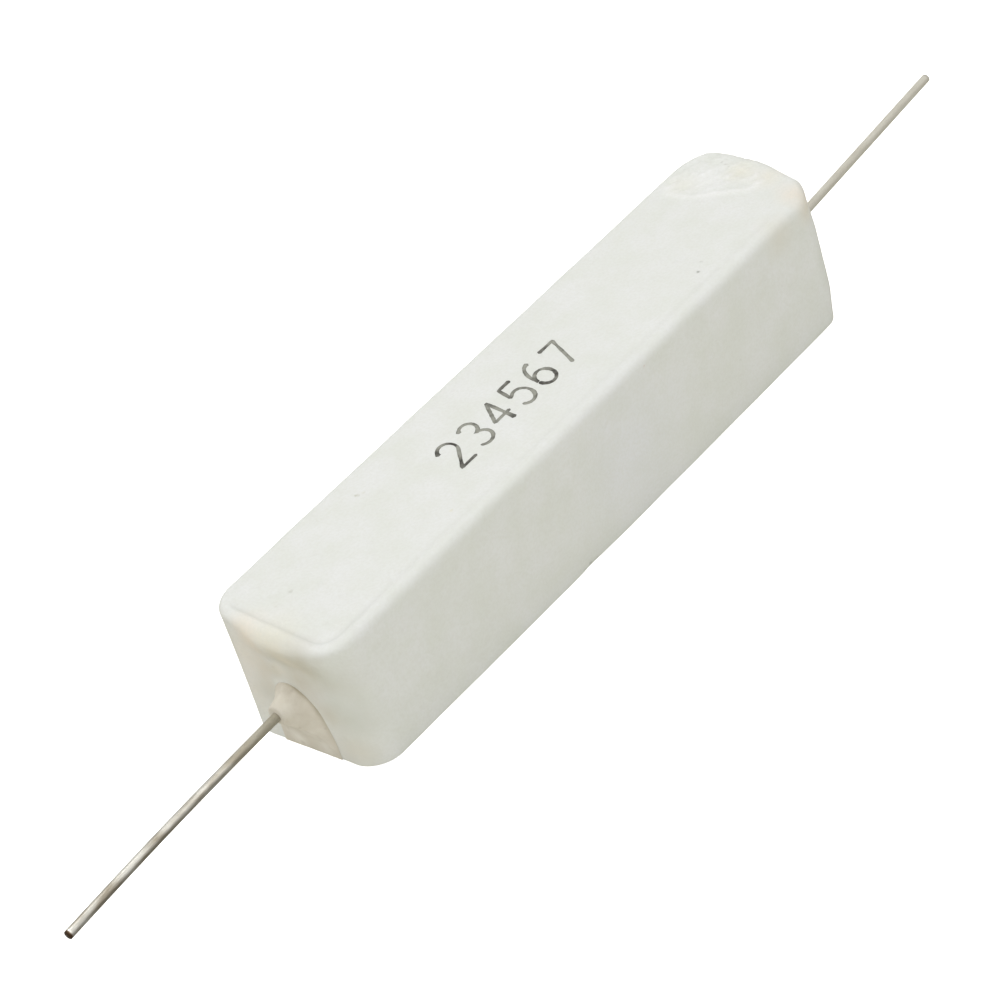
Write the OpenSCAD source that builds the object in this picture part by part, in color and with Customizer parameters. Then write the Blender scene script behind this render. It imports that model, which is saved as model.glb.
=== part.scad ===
// Ceramic-cased wirewound power resistor with one axial lead at each end.
// Millimetres. X runs along the leads, Z is up. The origin is the middle of the open, cement-filled
// face that the resistor rests on. The closed, marked face of the case is on top.
// "near" is the end at -X and "far" is the end at +X.

/* [Ceramic case] */
// Length of the case between its end faces
case_l = 48; // [42:0.5:60]
// Width of the case across its long sides
case_w = 10.9; // [9.6:0.1:14]
// Height of the case from the open face to the marked face
case_h = 9.6; // [8.6:0.1:13]
// Radius of the four upright corners
corner_r = 2.1; // [1.5:0.1:2.8]
// Radius of the edge round the marked face
edge_r = 0.65; // [0.3:0.05:0.8]
// Thickness of the long side walls
wall_t = 1.3; // [0.9:0.1:1.8]
// Thickness of the end walls
end_wall_t = 1.5; // [1:0.1:2.5]
// Thickness of the closed base, under the marked face
base_t = 1.6; // [1:0.1:2.2]
// Radius inside the corners of the trough
trough_r = 1; // [0.5:0.1:1.5]
// Chamfer of the lip round the open face
lip_chamfer = 0.2; // [0.1:0.05:0.4]

/* [Press marks of the case] */
// Distance of the groove in the marked face from the outside of the case
groove_inset = 1; // [0.9:0.05:1.3]
// Radius of the groove's round section
groove_r = 0.16; // [0.08:0.02:0.24]
// Depth of the marked panel below the rim that surrounds it
panel_drop = 0.05; // [0.02:0.01:0.12]
// Radius of the swollen brow under the top edge of each end wall
brow_r = 0.7; // [0.4:0.05:0.9]
// How far the near brow stands out of its end face
brow_out_near = 0.85; // [0.75:0.05:1.2]
// Width of the near brow
brow_w_near = 6.4; // [4:0.1:7]
// How far the far brow stands out of its end face
brow_out_far = 1.3; // [0.75:0.05:1.4]
// Width of the far brow
brow_w_far = 8.4; // [5:0.1:8.8]
// Depth of the brows' crest below the marked face
brow_drop = 0.12; // [0.05:0.01:0.4]

/* [End notches] */
// Radius of the arch of each end notch
notch_r = 2.2; // [1.6:0.1:2.6]
// Height of the arch's crown above the axis of the element
notch_crown = 1.3; // [1.1:0.05:1.8]

/* [Cement] */
// How far the cement stands out of the end face round each lead
mound_out = 1.7; // [0.5:0.1:2.5]
// Radius of the cement's tip round each lead
mound_tip_r = 0.65; // [0.5:0.05:1]
// Radius of the cement's foot on the end face
mound_foot_r = 2.1; // [1.5:0.1:2.6]

/* [Resistance element] */
// Height of the element's axis above the open face, at mid length
axis_z = 3.78; // [3.4:0.02:4.2]
// Angle at which the element lies in the cement, near end higher, in degrees
element_tilt = 0.95; // [0:0.05:1.2]
// Distance from each end wall to the closed face of its cap
cap_setback = 4; // [2:0.1:7]
// Diameter of the core rod
core_d = 4.2; // [3:0.1:4.6]
// Sheet thickness of the end caps
cap_t = 0.3; // [0.2:0.05:0.4]
// Length of the end caps
cap_l = 4.5; // [3:0.1:6]
// Rounding of the caps' closed end
cap_edge_r = 0.5; // [0.3:0.05:0.6]
// Diameter of the resistance wire
wire_d = 0.26; // [0.2:0.02:0.3]
// Pitch of the winding
wire_pitch = 0.6; // [0.54:0.02:1.2]

/* [Leads] */
// Diameter of the tinned leads
lead_d = 0.6; // [0.4:0.05:0.8]
// Diameter of the welded head of each lead
head_d = 1.1; // [0.9:0.05:1.6]
// Thickness of the welded head
head_t = 0.25; // [0.15:0.05:0.5]
// Length of the near lead from the cement to its tip
free_l_near = 18.6; // [5:0.1:40]
// Length of the far lead from the cement to its tip
free_l_far = 17; // [5:0.1:40]
// Fall of the near lead below the horizontal, in degrees
fall_near = 3.1; // [0:0.1:6]
// Rise of the far lead above the horizontal, in degrees
rise_far = 4.3; // [0:0.1:30]

/* [Fits] */
// Gap between pieces that are potted together
pot_gap = 0.02; // [0.01:0.01:0.05]
// Gap between the core rod and its caps
cap_gap = 0.03; // [0.01:0.01:0.06]

/* [Hidden] */
$fn = 64;

half_l = case_l / 2;
trough_l = case_l - 2 * end_wall_t;
trough_w = case_w - 2 * wall_t;
trough_h = case_h - base_t;
panel_z = case_h - panel_drop;
notch_z = axis_z + notch_crown - notch_r;

cap_bore_r = core_d / 2 + cap_gap;
cap_r = cap_bore_r + cap_t;
cap_face_x = trough_l / 2 - cap_setback;
core_l = 2 * (cap_face_x - cap_t - cap_gap);
lead_r = lead_d / 2;
exit_x = half_l + mound_out;
exit_rise = half_l * tan(element_tilt);

wire_sides = 6;
steps_per_turn = 16;
// The winding's flats, between its steps, clear the rod by the gap
winding_r = (core_d / 2 + pot_gap) / cos(180 / steps_per_turn) + wire_d / 2;
winding_l = 2 * (cap_face_x - cap_l - pot_gap) - wire_d;
turns = floor(winding_l / wire_pitch);
element_r = max(cap_r, winding_r + wire_d / 2);
// Extra length of a tool that cuts through a face
cut = 1;

// A rectangle with round corners, centred, in the XY plane
module round_rect(l, w, r) {
    square([l - 2 * r, w], center = true);
    square([l, w - 2 * r], center = true);
    for (sx = [-1, 1]) {
        for (sy = [-1, 1]) {
            translate([sx * (l / 2 - r), sy * (w / 2 - r)])
                circle(r);
        }
    }
}

// Section of the case's border from the corner's axis (x = 0) to the outside (x = corner_r):
// chamfered lip below, round edge above, then the rim, the groove and the panel inside it
module border_section() {
    difference() {
        union() {
            square([corner_r - edge_r, case_h]);
            square([corner_r, case_h - edge_r]);
            translate([corner_r - edge_r, case_h - edge_r])
                circle(edge_r);
        }
        translate([-cut, -case_h])
            square([cut, 3 * case_h]);
        translate([-cut, panel_z])
            square([cut + corner_r - groove_inset, cut]);
        translate([corner_r - groove_inset, case_h])
            circle(groove_r);
        translate([corner_r, 0])
            rotate(45)
                square(lip_chamfer * sqrt(2), center = true);
    }
}

// The border's section carried straight for a length along X, its outside towards +Y
module border_run(l) {
    rotate([90, 0, 90])
        translate([0, 0, -l / 2])
            linear_extrude(l)
                border_section();
}

// The outside of the case: four straight borders, four turned corners and the block between them
module case_block() {
    run_l = case_l - 2 * corner_r;
    run_w = case_w - 2 * corner_r;
    translate([-run_l / 2, -run_w / 2, 0])
        cube([run_l, run_w, panel_z]);
    for (a = [0, 180]) {
        rotate([0, 0, a])
            translate([0, run_w / 2, 0])
                border_run(run_l);
        rotate([0, 0, a + 90])
            translate([0, run_l / 2, 0])
                border_run(run_w);
    }
    for (sx = [-1, 1]) {
        for (sy = [-1, 1]) {
            translate([sx * run_l / 2, sy * run_w / 2, 0])
                rotate([0, 0, atan2(sy, sx) - 45])
                    rotate_extrude(angle = 90)
                        border_section();
        }
    }
}

// A brow at the far end: a bowed roll that swells out of the end face by out over a width of w
module brow(out, w) {
    bow_r = (w * w / 4 + out * out) / (2 * out);
    half_angle = asin(w / 2 / bow_r);
    translate([half_l + out - bow_r, 0, case_h - brow_drop - brow_r])
        rotate([0, 0, -half_angle])
            rotate_extrude(angle = 2 * half_angle)
                translate([bow_r - brow_r, 0])
                    circle(brow_r);
}

// Outline of an end notch seen along X, made smaller all round by gap, open below the case
module notch_outline(gap) {
    r = notch_r - gap;
    translate([0, notch_z])
        circle(r);
    translate([-r, -cut])
        square([2 * r, notch_z + cut]);
}

// The notch outline carried along X from x0 to x1
module notch_bar(gap, x0, x1) {
    translate([x0, 0, 0])
        rotate([90, 0, 90])
            linear_extrude(x1 - x0)
                notch_outline(gap);
}

module ceramic_case() {
    color([0.9, 0.91, 0.87])
        difference() {
            union() {
                case_block();
                brow(brow_out_far, brow_w_far);
                rotate([0, 0, 180])
                    brow(brow_out_near, brow_w_near);
            }
            translate([0, 0, -cut])
                linear_extrude(trough_h + cut)
                    round_rect(trough_l, trough_w, trough_r);
            notch_bar(0, -half_l - cut, half_l + cut);
        }
}

// Turns the element and its leads from the X axis to the place where they lie in the cement
module place_element() {
    translate([0, 0, axis_z])
        rotate([0, element_tilt, 0])
            children();
}

// The cement's meniscus on the far end, hollow flanks rising to a flat tip round the lead
module mound(lead_z) {
    reach = mound_foot_r - mound_tip_r;
    flank_r = (reach * reach + mound_out * mound_out) / (2 * mound_out);
    translate([half_l + pot_gap, 0, lead_z])
        rotate([0, 90, 0])
            rotate_extrude()
                intersection() {
                    difference() {
                        square([mound_foot_r, mound_out - pot_gap]);
                        translate([mound_foot_r, flank_r])
                            circle(flank_r);
                    }
                    square([mound_foot_r, mound_out]);
                }
}

// The room that the element and the straight parts of its leads take up in the cement
module element_room() {
    room_l = 2 * (cap_face_x + pot_gap);
    head_l = 2 * (cap_face_x + head_t + pot_gap);
    place_element()
        rotate([0, 90, 0]) {
            cylinder(h = room_l, r = element_r + pot_gap, center = true);
            cylinder(h = head_l, r = head_d / 2 + pot_gap, center = true);
            cylinder(h = 2 * (exit_x + cut), r = lead_r + pot_gap, center = true);
        }
}

module cement_fill() {
    color([0.8, 0.76, 0.64])
        difference() {
            union() {
                linear_extrude(trough_h - pot_gap)
                    round_rect(trough_l - 2 * pot_gap, trough_w - 2 * pot_gap, trough_r - pot_gap);
                intersection() {
                    notch_bar(pot_gap, -half_l - pot_gap, half_l + pot_gap);
                    translate([-case_l, -case_w, 0])
                        cube([2 * case_l, 2 * case_w, case_h]);
                }
                mound(axis_z - exit_rise);
                rotate([0, 0, 180])
                    mound(axis_z + exit_rise);
            }
            element_room();
        }
}

module core_rod() {
    color([0.86, 0.84, 0.8])
        place_element()
            rotate([0, 90, 0])
                cylinder(h = core_l, d = core_d, center = true);
}

// Point at angle a round the wire's own section, for step i along the winding
function winding_point(i, a) =
    let (
        turn_angle = 360 * i / steps_per_turn,
        r = winding_r + wire_d / 2 * cos(a),
        x = (i / steps_per_turn - turns / 2) * wire_pitch + wire_d / 2 * sin(a)
    )
    [x, r * cos(turn_angle), r * sin(turn_angle)];

module resistance_wire() {
    steps = turns * steps_per_turn;
    points = [
        for (i = [0:steps])
            for (k = [0:wire_sides - 1])
                winding_point(i, 360 * k / wire_sides)
    ];
    skin = [
        for (i = [0:steps - 1])
            for (k = [0:wire_sides - 1])
                let (
                    a = i * wire_sides + k,
                    b = i * wire_sides + (k + 1) % wire_sides
                )
                [a, b, b + wire_sides, a + wire_sides]
    ];
    first_end = [for (k = [0:wire_sides - 1]) wire_sides - 1 - k];
    last_end = [for (k = [0:wire_sides - 1]) steps * wire_sides + k];
    color([0.5, 0.49, 0.47])
        place_element()
            polyhedron(points, concat([first_end], skin, [last_end]));
}

// An end cap on the far end of the rod: a pressed cup with a rounded closed end
module end_cap() {
    translate([cap_face_x - cap_l, 0, 0])
        rotate([0, 90, 0])
            rotate_extrude()
                difference() {
                    union() {
                        square([cap_r - cap_edge_r, cap_l]);
                        square([cap_r, cap_l - cap_edge_r]);
                        translate([cap_r - cap_edge_r, cap_l - cap_edge_r])
                            circle(cap_edge_r);
                    }
                    translate([-cap_r, -cap_l])
                        square([cap_r, 3 * cap_l]);
                    translate([-cut, -cut])
                        square([cap_bore_r + cut, cap_l - cap_t + cut]);
                }
}

module end_cap_near() {
    color([0.66, 0.66, 0.66])
        place_element()
            rotate([0, 0, 180])
                end_cap();
}

module end_cap_far() {
    color([0.66, 0.66, 0.66])
        place_element()
            end_cap();
}

// Straight wire of length l along X, its start at x = 0 cut on the plane that halves a bend of b
module mitred_wire(l, b) {
    difference() {
        translate([-cut, 0, 0])
            rotate([0, 90, 0])
                cylinder(h = l + cut, r = lead_r);
        rotate([0, b / 2, 0])
            translate([-2 * cut, -cut, -cut])
                cube(2 * cut);
    }
}

// A lead at the far end: welded head, straight stem through the cement, then the free end, bent up
module lead(bend, free_l) {
    translate([cap_face_x, 0, 0])
        rotate([0, 90, 0])
            cylinder(h = head_t, d = head_d);
    translate([exit_x, 0, 0]) {
        rotate([0, 0, 180])
            mitred_wire(exit_x - cap_face_x, -bend);
        rotate([0, -bend, 0])
            mitred_wire(free_l, bend);
    }
}

module lead_near() {
    color([0.72, 0.71, 0.69])
        place_element()
            rotate([180, 0, 180])
                lead(fall_near + element_tilt, free_l_near);
}

module lead_far() {
    color([0.72, 0.71, 0.69])
        place_element()
            lead(rise_far + element_tilt, free_l_far);
}

ceramic_case();
cement_fill();
core_rod();
resistance_wire();
end_cap_near();
end_cap_far();
lead_near();
lead_far();
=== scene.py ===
import bmesh
import bpy
import numpy as np
from mathutils import Matrix, Vector


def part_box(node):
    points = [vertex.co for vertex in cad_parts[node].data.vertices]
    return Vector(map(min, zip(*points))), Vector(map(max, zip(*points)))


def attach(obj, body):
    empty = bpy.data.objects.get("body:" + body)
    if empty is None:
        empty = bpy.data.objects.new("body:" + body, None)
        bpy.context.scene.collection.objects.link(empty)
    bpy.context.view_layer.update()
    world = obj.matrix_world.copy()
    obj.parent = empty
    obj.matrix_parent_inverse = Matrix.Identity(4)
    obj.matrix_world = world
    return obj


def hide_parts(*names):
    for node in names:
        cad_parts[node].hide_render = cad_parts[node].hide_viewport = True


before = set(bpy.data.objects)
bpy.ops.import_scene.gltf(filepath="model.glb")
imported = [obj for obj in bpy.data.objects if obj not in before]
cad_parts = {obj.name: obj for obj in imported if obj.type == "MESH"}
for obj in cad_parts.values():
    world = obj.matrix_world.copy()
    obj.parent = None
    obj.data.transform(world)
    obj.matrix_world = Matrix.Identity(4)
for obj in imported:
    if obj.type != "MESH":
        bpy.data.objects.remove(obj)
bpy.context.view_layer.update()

# Ceramic case
# A trough of white ceramic, pressed from powder and fired. It lies with its closed, marked face up
# and its open face down. Pressing left a groove inside the rim of the marked face, swollen brows
# under the top edge of both end walls and a rough, lumpy patch at the far end.
MM = 0.001
_, case_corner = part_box("ceramic_case")
half_w, case_h = case_corner[1] / MM, case_corner[2] / MM
half_l = 24.0
corner_r = 2.1
edge_r = 0.65
wall_t = 1.3
end_wall_t = 1.5
base_t = 1.6
trough_r = 1.0
lip_r = 0.12
notch_r = 2.2
crown_z = 5.08
notch_z = crown_z - notch_r
groove_inset = 1.0
groove_half = 0.34
groove_depth = 0.11
panel_drop = 0.05
brow_out_near = 0.72
brow_out_far = 1.33
rim_out_near = 0.5
brow_side_far = 0.62
ridge_h = 0.11
ridge_half = 0.24
lump_h = 0.09
panel_swell = 0.02
fired_warp = 0.02
side_belly = 0.13
belly_x, belly_l = 3.0, 56.0
near_taper = 0.08
far_foot_in = 0.3
chip_x = -3.7
chip_depth = 0.06
side_band = 0.7

# Steps of the border round the case: foot, jamb and half crown of a notch, corner, long side. The
# steps along a long side are closer together over its last end_run at either end.
FOOT, JAMB, CROWN, TURN, SIDE = 4, 9, 11, 12, 178
end_run = 3.9
END_STEPS = 30
END = 2 * (FOOT + JAMB + CROWN)


def smooth(x, low, high):
    """0 below low and 1 above high, with 3t^2 - 2t^3 between."""
    t = np.clip((x - low) / (high - low), 0, 1)
    return t * t * (3 - 2 * t)


def waves(points, size, seed):
    """Uneven swell between about -1 and 1: 2.2 times the mean of 12 sine waves of about that
    wavelength, each running its own way through space with its own phase."""
    rng = np.random.default_rng(seed)
    ways = rng.normal(size=(12, 3))
    ways *= (rng.uniform(0.6, 1.5, 12) / np.linalg.norm(ways, axis=1) / size)[:, None]
    phases = rng.uniform(0, 2 * np.pi, 12)
    return np.sin(2 * np.pi * points @ ways.T + phases).mean(axis=1) * 2.2


def press_notch(y, z):
    """The y of a notch's round outline as it is pressed: narrower towards the crown."""
    narrowed = 0.2 * smooth(z, 0.8, 4.6)
    return y * (1 - narrowed)


def crown_lean(z):
    """How far a notch's crown leans to the +Y side, mm."""
    return 0.2 * smooth(z, 3.6, 5.1)


def notch_curve():
    """The foot of an end wall, from corner to corner: along the open face, up a jamb, over the round
    crown and down again. Returns y and z, and the way into the wall from the curve, for END + 1
    points. The two runs along the open face have no y yet: border gives them theirs."""
    crown = np.linspace(0, np.pi, 2 * CROWN + 1)
    rise = np.linspace(0, notch_z, JAMB, endpoint=False)
    unset = np.full(FOOT, np.nan)
    y = np.concatenate([
        unset, np.full(JAMB, -notch_r), -notch_r * np.cos(crown), np.full(JAMB, notch_r), unset])
    z = np.concatenate([
        np.zeros(FOOT), rise, notch_z + notch_r * np.sin(crown), rise[::-1], np.zeros(FOOT)])
    into_y = np.concatenate([
        np.zeros(FOOT), np.full(JAMB, -1.0), -np.cos(crown), np.full(JAMB, 1.0), np.zeros(FOOT)])
    into_z = np.concatenate([
        np.ones(FOOT), np.zeros(JAMB), np.sin(crown), np.zeros(JAMB), np.ones(FOOT)])
    into_z[[FOOT, -FOOT - 1]] = 1.0
    return y, z, into_y, into_z


def border(out_l, out_w, radius):
    """A loop round the case seen from above: end wall, corner, long side, corner, and the same again
    turned half round, but with both notches' crowns leaning to the +Y side. Gives for each step its
    foot point, its way into the wall, its top point at height 0 and its direction out of the face."""
    run_l, run_w = out_l - radius, out_w - radius
    y, z, into_y, into_z = notch_curve()
    y = press_notch(y, z)
    y[:FOOT] = np.linspace(-run_w, -notch_r, FOOT, endpoint=False)
    y[-FOOT:] = -y[:FOOT][::-1]
    turn = np.linspace(0, np.pi / 2, TURN, endpoint=False)
    side = np.interp(np.arange(SIDE), [0, END_STEPS, SIDE - END_STEPS, SIDE],
                     [run_l, run_l - end_run, end_run - run_l, -run_l])
    cos, sin = np.cos(turn), np.sin(turn)
    past_end = SIDE + 2 * TURN
    x_foot = np.concatenate([
        np.full(END, out_l), run_l + radius * cos, side, -run_l - radius * sin])
    y_foot = np.concatenate([
        y[:END], run_w + radius * sin, np.full(SIDE, out_w), run_w + radius * cos])
    y_top = np.concatenate([
        np.linspace(-run_w, run_w, END, endpoint=False), y_foot[END:]])
    level = np.zeros(END + past_end)
    foot = np.stack([x_foot, y_foot, np.concatenate([z[:END], np.zeros(past_end)])], axis=1)
    top = np.stack([x_foot, y_top, level], axis=1)
    into = np.stack([
        level,
        np.concatenate([into_y[:END], np.zeros(past_end)]),
        np.concatenate([into_z[:END], np.ones(past_end)])], axis=1)
    out = np.stack([
        np.concatenate([np.ones(END), cos, np.zeros(SIDE), -sin]),
        np.concatenate([np.zeros(END), sin, np.ones(SIDE), cos]),
        level], axis=1)
    half_turn = np.array([-1, -1, 1])
    foot, into, top, out = (np.concatenate([a, a * half_turn]) for a in (foot, into, top, out))
    foot[:, 1] += crown_lean(foot[:, 2])
    return foot, into, top, out


def panel_grid(loop):
    """Fills a loop of the border with a grid: a Coons patch, which blends the two long sides and the
    two ends and takes away the blend of the four corners."""
    loop = np.roll(loop, TURN // 2, axis=0)
    wide, long = END + TURN, SIDE + TURN
    far = loop[:wide + 1]
    left = loop[wide:wide + long + 1][::-1]
    near = loop[wide + long:2 * wide + long + 1][::-1]
    right = np.concatenate([loop[2 * wide + long:], loop[:1]])
    s = ((right[:, 0] - right[0, 0]) / (right[-1, 0] - right[0, 0]))[:, None, None]
    t = np.linspace(0, 1, wide + 1)[None, :, None]
    sides = (1 - t) * right[:, None] + t * left[:, None]
    ends = (1 - s) * near[None] + s * far[None]
    corners = ((1 - s) * (1 - t) * near[0] + s * (1 - t) * far[0]
               + (1 - s) * t * near[-1] + s * t * far[-1])
    return sides + ends - corners


def grid_faces(rows, columns, first=0, closed=False):
    """Quads between the neighbours of a grid of points, whose columns may close on themselves."""
    i, j = np.meshgrid(np.arange(rows - 1), np.arange(columns if closed else columns - 1),
                       indexing="ij")
    k = (j + 1) % columns
    quads = [i * columns + j, i * columns + k, (i + 1) * columns + k, (i + 1) * columns + j]
    return first + np.stack(quads, axis=-1).reshape(-1, 4)


def make_mesh(name, points, faces, masks=None):
    """A mesh object at the origin from points in millimetres: doubles merged, faces turned out.
    masks maps the name of a point attribute to its value at each point."""
    mesh = bpy.data.meshes.new(name)
    mesh.from_pydata((points * MM).tolist(), [], np.asarray(faces).tolist())
    for label, values in (masks or {}).items():
        layer = mesh.attributes.new(label, "FLOAT", "POINT")
        layer.data.foreach_set("value", np.asarray(values, dtype=np.float32))
    shell = bmesh.new()
    shell.from_mesh(mesh)
    bmesh.ops.remove_doubles(shell, verts=shell.verts, dist=1e-7)
    bmesh.ops.recalc_face_normals(shell, faces=shell.faces)
    shell.to_mesh(mesh)
    shell.free()
    mesh.shade_smooth()
    piece = bpy.data.objects.new(name, mesh)
    bpy.context.collection.objects.link(piece)
    return piece


def swell_near(y, z):
    """How far the near end bulges out, mm: a brow below the rim, a bell across y, which runs into a
    smaller push of the rim itself; a wall that leans out on its -Y side; and a foot a little off
    square."""
    across = np.exp(-np.abs((y + 0.5) / 3.1) ** 2.4)
    lower = 6.5 + 0.08 * np.abs(y - 0.8)
    brow = brow_out_near * across * smooth(z, lower, lower + 2.2)
    lean = 0.12 * np.log1p(np.exp(-y - 0.3)) * (0.2 + 0.8 * smooth(z, 5, 9))
    at_foot = 0.012 * y * (1 - smooth(z, 0, 3)) + 0.05 * smooth(y, 3, 5)
    rim = rim_out_near - 0.07 * y - 0.08 * smooth(y, 3.5, 5)
    to_rim = smooth(z, 8.7, 9.6)
    return (brow + lean + at_foot) * (1 - to_rim) + rim * to_rim


def swell_far(y, z):
    """The same at the far end: one wide swelling under the rim, fullest on the +Y side."""
    full = 0.05 + 0.05 * y + brow_side_far * smooth(y, 1, 5) - 0.3 * smooth(-y, 3.2, 4.8)
    full += brow_out_far * np.exp(-((y - 0.4) / 4.1) ** 2)
    full -= 0.1 * np.exp(-((y + 1.8) / 1.6) ** 2)
    return 0.08 + 0.03 * smooth(-y, 1, 4) + full * smooth(z, 6.4, 8.9)


# The low ridge that bounds the rough patch on the marked face at the far end, x and y. At its point
# RIDGE_TURN it turns to run out over the end.
RIDGE = np.array([
    (19.95, 4.7), (20.05, 3.8), (20.1, 3.0), (20.24, 2.1), (20.77, 1.19), (21.46, 0.07),
    (22.03, -0.97), (22.71, -1.44), (23.4, -1.42), (23.95, -0.85), (24.5, 0.1)])
RIDGE_TURN = 7


def rough_patch(x, y):
    """Distance in mm from the ridge, and a mask of the rough patch behind it."""
    starts, steps = RIDGE[:-1], np.diff(RIDGE, axis=0)
    rel_x, rel_y = x[:, None] - starts[:, 0], y[:, None] - starts[:, 1]
    along = (rel_x * steps[:, 0] + rel_y * steps[:, 1]) / (steps ** 2).sum(axis=1)
    along = np.clip(along, 0, 1)
    away = np.hypot(rel_x - along * steps[:, 0], rel_y - along * steps[:, 1]).min(axis=1)
    side = RIDGE[:RIDGE_TURN + 1][::-1]
    end = RIDGE[RIDGE_TURN:]
    behind = smooth(x - np.interp(y, side[:, 1], side[:, 0]), 0, 0.5)
    behind *= smooth(y - np.interp(x, end[:, 0], end[:, 1], left=-1.7), 0, 0.4)
    return away, behind * smooth(-y, -5.1, -4.4)


def ridge_and_lumps(x, y):
    """Share of its full height that the ridge has at a place, and the lumps of the rough patch
    behind it, from about -1 to 1."""
    flat = np.stack([x, y, np.zeros_like(x)], axis=1)
    away, patch = rough_patch(x, y)
    ridge = np.exp(-(away / ridge_half) ** 2) * smooth(4.5 - y, 0, 0.8)
    ridge *= 1 - smooth(x, 23.0, 23.8)
    lumps = 0.7 * waves(flat, 0.6, 5) + 0.5 * waves(flat, 1.6, 6)
    return ridge * (0.8 + 0.3 * waves(flat, 0.9, 7)), patch * lumps


def panel_relief(x, y):
    """Height in mm of the marked face over its plane: slow swell, ridge and lumps."""
    flat = np.stack([x, y, np.zeros_like(x)], axis=1)
    swell = panel_swell * waves(flat * [0.6, 1, 0], 5.0, 3) + 0.006 * waves(flat, 1.3, 4)
    ridge, lumps = ridge_and_lumps(x, y)
    return swell + ridge_h * ridge + lump_h * lumps


def groove_left(x, y):
    """Share of the groove's depth that is left: all of it round the near end, less along the long
    sides, least on the +Y side, none at the far end."""
    return ((1 - smooth(x, 18.5, 22.0)) * (1 - 0.9 * smooth(y, 3.4, 4.2))
            * (0.4 + 0.6 * smooth(-x, 17, 21)))


def fired_waves(points):
    """How far the case's outside has warped outwards at each point, mm."""
    return fired_warp * (waves(points, 5.5, 1) + 0.25 * waves(points, 1.4, 2))


def shape_case(points, tops, drops, outs):
    """Moves the smooth outside of the case to its pressed and fired form. tops is how far each
    point's surface faces up, drops how far it lies below the rim, and outs its way out of the face.
    The ends swell, the marked face gets its groove and relief, and the whole skin warps. The -Y
    side bellies out, most at its foot, where it has a small chip. The near end narrows on its +Y
    side, and the far upright corner on the -Y side draws in at the open face."""
    x, y, z = points.T
    moved = points.copy()
    near = smooth(-x, 19.5, 23.0) * swell_near(y, z)
    far = smooth(x, 20.6, half_l) * swell_far(y, z)
    moved[:, 0] += far - near
    moved[:, 2] -= drops * groove_left(x, y)
    moved[:, 2] += tops * panel_relief(moved[:, 0], y)
    moved += outs * fired_waves(points)[:, None]
    belly = np.cos(np.pi * (x - belly_x) / belly_l) * (1 - 0.7 * z / case_h)
    moved[:, 1] -= side_belly * belly * smooth(-y, half_w - side_band, half_w)
    moved[:, 1] -= near_taper * smooth(-x, 16, 21) * smooth(y, half_w - side_band, half_w)
    turn_x = np.clip(np.abs(x) - (half_l - corner_r), 0, None)
    turn_y = np.clip(np.abs(y) - (half_w - corner_r), 0, None)
    turned = 2 * turn_x * turn_y / (turn_x ** 2 + turn_y ** 2 + 1e-9)
    drawn_in = far_foot_in * turned ** 2 * (1 - smooth(z, -0.5, 2.4)) * (y < 0) * (x > 0)
    moved[:, 0] -= drawn_in * turn_x / corner_r
    moved[:, 1] += drawn_in * turn_y / corner_r
    chip = np.exp(-((x - chip_x) / 0.8) ** 2 - (z / 0.25) ** 2) * (y < 0)
    moved[:, 1] += chip_depth * chip
    return moved


# The outside of the case, loop by loop: the lip round its foot, the walls, the rounded top edge, the
# groove and the border of the marked panel. Then the trough's walls and its ceiling.
foot, into, top, out = border(half_l, half_w, corner_r)
lip = np.linspace(0, np.pi / 2, 5)[:, None, None]
lip_loops = foot + into * lip_r * (1 - np.cos(lip)) - out * lip_r * (1 - np.sin(lip))
spread = np.concatenate([np.linspace(0, 0.78, 20), np.linspace(0.79, 1, 20)])[1:, None, None]
wall_top = top + [0, 0, case_h - edge_r]
wall_loops = lip_loops[-1] * (1 - spread) + wall_top * spread
arc = np.linspace(0, np.pi / 2, 9)[1:, None, None]
edge_loops = wall_top + out * edge_r * (np.cos(arc) - 1) + np.array([0, 0, edge_r]) * np.sin(arc)
groove_steps = np.linspace(-1, 1, 9)
groove_cut = np.cos(groove_steps * np.pi / 2) ** 2
groove_drop = groove_depth * groove_cut + panel_drop * smooth(groove_steps, 0, 1)
groove_in = groove_inset + groove_half * groove_steps
groove_loops = top - out * groove_in[:, None, None] + [0, 0, case_h]
panel_loop = top - out * (groove_inset + 2 * groove_half) + [0, 0, case_h]

outer = np.concatenate([lip_loops, wall_loops, edge_loops, groove_loops, panel_loop[None]])
plain = len(lip_loops) + len(wall_loops)
facing_up = np.concatenate([np.zeros(plain), np.sin(arc).ravel(), np.ones(len(groove_steps) + 1)])
drops = np.concatenate([np.zeros(plain + len(edge_loops)), groove_drop, [panel_drop]])
in_groove = np.concatenate([np.zeros(plain + len(edge_loops)), groove_cut, [0]])
facing_up, drops, in_groove = (np.repeat(a, len(foot)) for a in (facing_up, drops, in_groove))
sideways = np.sqrt(1 - facing_up ** 2)[:, None] * np.tile(out, (len(outer), 1))
outer_flat = outer.reshape(-1, 3)
outer_points = shape_case(outer_flat, facing_up, drops, sideways)
in_groove *= groove_left(outer_flat[:, 0], outer_flat[:, 1])
panel = panel_grid(panel_loop)
panel_count = panel[..., 0].size
panel_points = shape_case(panel.reshape(-1, 3), np.ones(panel_count),
                          np.full(panel_count, panel_drop), np.zeros((panel_count, 3)))

in_foot, _, in_top, _ = border(half_l - end_wall_t, half_w - wall_t, trough_r)
depth = np.linspace(0, 1, 5)[:, None, None]
ceiling_loop = in_top + [0, 0, case_h - base_t]
inner_loops = ceiling_loop * (1 - depth) + in_foot * depth
ceiling = panel_grid(ceiling_loop)

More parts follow.
